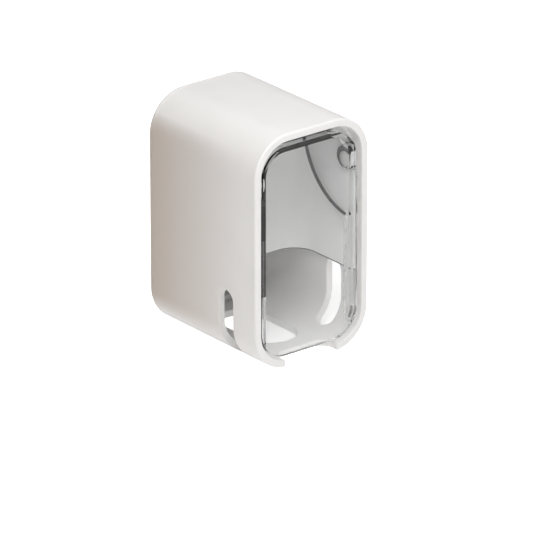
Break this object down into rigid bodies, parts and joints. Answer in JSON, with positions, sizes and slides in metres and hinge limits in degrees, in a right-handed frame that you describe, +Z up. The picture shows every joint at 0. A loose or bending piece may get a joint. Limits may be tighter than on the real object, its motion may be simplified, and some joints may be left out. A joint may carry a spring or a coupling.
{
  "type": "toothbrush sanitizer",
  "caption": "Small rounded case that slips over a brush head, with a hollow grey chamber, clear flip-up front cover, side slots, lamp, side button and charging port.",
  "frame": {"origin": "middle of the case's base, on the surface it stands on", "axes": "+Z up, -Y towards the clear front cover, +X to the right seen from the front"},
  "size_m": [0.0318, 0.0374, 0.055],
  "materials": {
    "case_plastic": "fine matt moulded ABS, warm white",
    "cover_clear": "polished clear moulded plastic, stands for glass",
    "liner_plastic": "satin light grey moulded plastic",
    "seal_rubber": "soft silicone rubber",
    "pin_plastic": "smooth grey acetal",
    "screw_steel": "zinc plated steel",
    "magnet_nickel": "nickel plated",
    "quartz": "polished quartz",
    "white_board": "white solder mask on aluminium",
    "green_board": "green solder mask on glass fibre",
    "led_ceramic": "ceramic light source package",
    "chip_black": "black epoxy",
    "port_steel": "drawn stainless steel",
    "port_black": "black glass filled nylon",
    "button_white": "semi gloss moulded white",
    "pipe_clear": "frosted clear acrylic",
    "cell_wrap": "silver laminate pouch",
    "tape_yellow": "double sided film tape",
    "wire_red": "soft insulation",
    "wire_white": "soft insulation"
  },
  "bodies": {
    "case": {"outer_shell": "case_plastic", "rear_cover": "case_plastic", "rear_seal": "seal_rubber", "rear_screws": "screw_steel", "inner_liner": "liner_plastic", "right_hinge_pin": "pin_plastic", "left_hinge_pin": "pin_plastic", "uv_window": "quartz", "uv_board": "white_board", "uv_leds": "led_ceramic", "lamp_screws": "screw_steel", "lamp_leads": "wire_white", "main_board": "green_board", "control_chips": "chip_black", "usb_shell": "port_steel", "usb_tongue": "port_black", "tact_switch": "chip_black", "status_led": "led_ceramic", "light_pipe": "pipe_clear", "battery": "cell_wrap", "battery_tape": "tape_yellow", "battery_leads": "wire_red", "hall_sensor": "chip_black", "sensor_leads": "wire_white"},
    "cover": {"front_cover": "cover_clear", "cover_magnet": "magnet_nickel"},
    "button": {"power_button": "button_white", "switch_stem": "button_white"}
  },
  "joints": [
    {"name": "cover_flip", "type": "hinge", "parent": "case", "child": "cover", "pos_m": [0, -0.01445, 0.04385], "axis": [-1, 0, 0], "range_deg": [0, 100]},
    {"name": "button_press", "type": "slide", "parent": "case", "child": "button", "axis": [-1, 0, 0], "range_m": [0, 0.0005], "stiffness_N_per_m": 1500}
  ]
}
